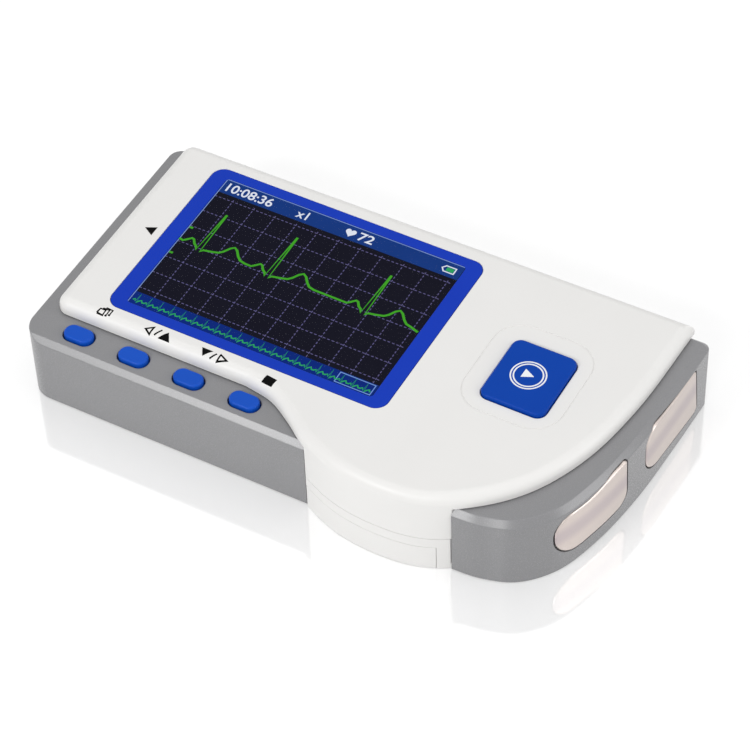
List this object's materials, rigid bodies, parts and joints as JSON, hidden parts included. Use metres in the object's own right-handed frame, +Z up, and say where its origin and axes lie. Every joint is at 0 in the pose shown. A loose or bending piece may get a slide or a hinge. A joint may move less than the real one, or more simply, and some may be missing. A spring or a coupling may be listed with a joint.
{
  "type": "portable ecg machine",
  "caption": "Handheld electrocardiograph with a colour display, start button, oval keys, steel finger electrodes in a grey end cap and a battery bay in its bulge.",
  "frame": {"origin": "middle of the footprint, on the surface that the machine lies on", "axes": "+X along the length towards the finger electrodes, +Y to the back edge away from the bulge, +Z up out of the display"},
  "size_m": [0.125, 0.0662, 0.0219],
  "materials": {
    "white_shell": "satin moulded ABS, warm white",
    "grey_shell": "satin moulded ABS, mid grey",
    "blue_frame": "satin blue plastic frame",
    "lens": "clear acrylic window",
    "display_glass": "colour display, lit",
    "backlight": "white light guide",
    "blue_button": "satin blue plastic",
    "blue_key": "satin blue plastic",
    "black_plastic": "moulded black",
    "electrode_steel": "satin stainless steel, slightly warm",
    "plated_steel": "nickel plated",
    "screw": "zinc plated steel",
    "board": "green circuit board",
    "ribbon": "amber film",
    "cell": "printed sleeve over steel, unmarked",
    "wire": "red insulation"
  },
  "bodies": {
    "case": {"top_cover": "white_shell", "bottom_cover": "white_shell", "left_bumper": "grey_shell", "end_cap": "grey_shell", "display_frame": "blue_frame", "display_lens": "lens", "display_panel": "display_glass", "display_backlight": "backlight", "display_holder": "black_plastic", "display_ribbon": "ribbon", "start_switch": "black_plastic", "page_key_switch": "black_plastic", "left_up_key_switch": "black_plastic", "down_right_key_switch": "black_plastic", "stop_key_switch": "black_plastic", "front_finger_electrode": "electrode_steel", "rear_finger_electrode": "electrode_steel", "left_electrode": "electrode_steel", "front_finger_electrode_wire": "wire", "rear_finger_electrode_wire": "wire", "left_electrode_wire": "wire", "main_board": "board", "key_board": "board", "board_ribbon": "ribbon", "processor_chip": "black_plastic", "amplifier_shield": "plated_steel", "buzzer": "black_plastic", "data_socket": "plated_steel", "left_cell": "cell", "right_cell": "cell", "contact_bridge": "plated_steel", "left_terminal": "plated_steel", "right_terminal": "plated_steel", "front_contact_spring": "plated_steel", "rear_contact_spring": "plated_steel", "case_screw_1": "screw", "case_screw_2": "screw", "case_screw_3": "screw", "case_screw_4": "screw"},
    "start_button": {"start_button": "blue_button"},
    "page_key": {"page_key": "blue_key"},
    "left_up_key": {"left_up_key": "blue_key"},
    "down_right_key": {"down_right_key": "blue_key"},
    "stop_key": {"stop_key": "blue_key"},
    "battery_door": {"battery_door": "white_shell"}
  },
  "joints": [
    {"name": "start_button_press", "type": "slide", "parent": "case", "child": "start_button", "axis": [0, 0, -1], "range_m": [0, 0.0006], "stiffness_N_per_m": 1000, "springref_m": -0.0002},
    {"name": "page_key_press", "type": "slide", "parent": "case", "child": "page_key", "axis": [0, 0, -1], "range_m": [0, 0.0005], "stiffness_N_per_m": 800, "springref_m": -0.0002},
    {"name": "left_up_key_press", "type": "slide", "parent": "case", "child": "left_up_key", "axis": [0, 0, -1], "range_m": [0, 0.0005], "stiffness_N_per_m": 800, "springref_m": -0.0002},
    {"name": "down_right_key_press", "type": "slide", "parent": "case", "child": "down_right_key", "axis": [0, 0, -1], "range_m": [0, 0.0005], "stiffness_N_per_m": 800, "springref_m": -0.0002},
    {"name": "stop_key_press", "type": "slide", "parent": "case", "child": "stop_key", "axis": [0, 0, -1], "range_m": [0, 0.0005], "stiffness_N_per_m": 800, "springref_m": -0.0002},
    {"name": "battery_door_slide", "type": "slide", "parent": "case", "child": "battery_door", "axis": [0, -1, 0], "range_m": [0, 0.02]}
  ]
}
